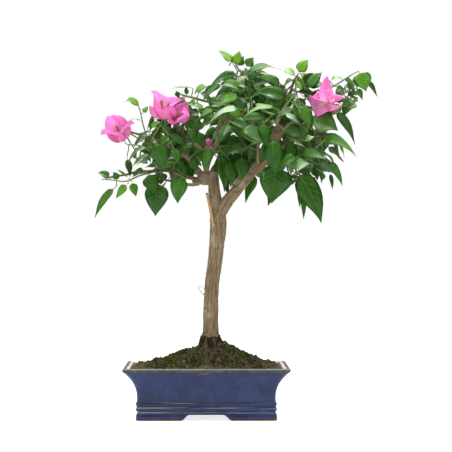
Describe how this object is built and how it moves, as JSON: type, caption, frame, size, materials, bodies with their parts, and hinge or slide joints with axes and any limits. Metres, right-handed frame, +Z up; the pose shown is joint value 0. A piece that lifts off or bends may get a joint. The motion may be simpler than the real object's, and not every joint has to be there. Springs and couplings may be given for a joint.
{
  "type": "bougainvillea bonsai in a pot",
  "caption": "Flowering bougainvillea grown as a small upright bonsai with a leafy crown and pink bracts, in a rectangular blue glazed pot.",
  "frame": {"origin": "middle of the plant's box in plan, at the level the pot stands on", "axes": "+X to the right along the pot's long side, +Y away from the front, +Z up the trunk"},
  "size_m": [0.3504, 0.2058, 0.4521],
  "materials": {
    "glazed_pot": "glossy blue glaze, bare brown clay at the feet",
    "soil": "damp crumbly earth with patches of moss",
    "bark": "grey-tan bark with upright cracks",
    "leaves": "soft-gloss leaves, papery pink bracts"
  },
  "bodies": {
    "root": {"pot": "glazed_pot", "soil": "soil", "trunk": "bark", "bough_right": "bark", "bough_upright": "bark", "bough_left_low": "bark", "bough_left_front": "bark", "bough_left_high": "bark", "bough_left_mid": "bark", "bough_front": "bark", "bough_back_centre": "bark", "bough_back_left": "bark", "bough_fork": "bark", "bough_right_front": "bark", "bough_right_low": "bark", "bough_right_mid": "bark", "bough_right_outer": "bark", "bough_right_top": "bark", "bough_back_right": "bark", "foliage_left_tip": "leaves", "foliage_left_low": "leaves", "foliage_left_upper": "leaves", "foliage_left_mid": "leaves", "foliage_front": "leaves", "foliage_top": "leaves", "foliage_back_centre": "leaves", "foliage_back_left": "leaves", "foliage_fork": "leaves", "foliage_right_low": "leaves", "foliage_right_front": "leaves", "foliage_right_mid": "leaves", "foliage_right_top": "leaves", "foliage_right_shoot": "leaves", "foliage_back_right": "leaves"}
  },
  "joints": []
}
